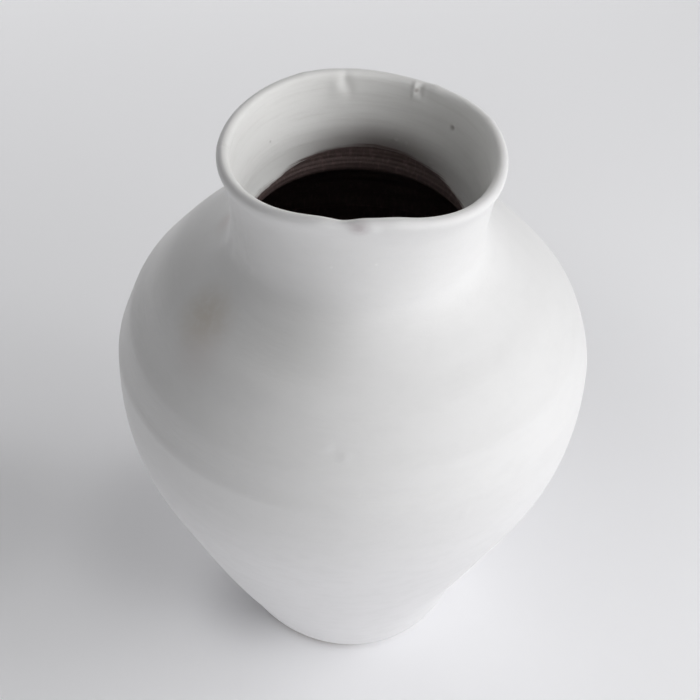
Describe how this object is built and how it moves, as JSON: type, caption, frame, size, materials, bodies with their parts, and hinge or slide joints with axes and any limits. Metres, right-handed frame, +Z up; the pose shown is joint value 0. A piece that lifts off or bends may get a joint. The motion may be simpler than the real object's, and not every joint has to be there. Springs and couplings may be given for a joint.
{
  "type": "ceramic jar",
  "caption": "Large matte white ceramic jar with a round belly, tapering lower body, low foot and short flaring neck with a thick wavy lip.",
  "frame": {"origin": "on the floor, under the middle of the belly", "axes": "+Z up, the front of the jar faces -Y, +X to its right as the front is seen"},
  "size_m": [0.3004, 0.3004, 0.4037],
  "materials": {
    "clay": "bare fired clay, dark purple-brown, dry",
    "slip": "bare fired slip, dark purple-brown",
    "white_coat": "dry matte white, slightly fibrous"
  },
  "bodies": {
    "root": {"foot_ring": "clay", "foot_seam_slip": "slip", "lower_bowl": "clay", "belly_seam_slip": "slip", "upper_bowl": "clay", "neck_seam_slip": "slip", "neck_collar": "clay", "white_coat": "white_coat"}
  },
  "joints": []
}
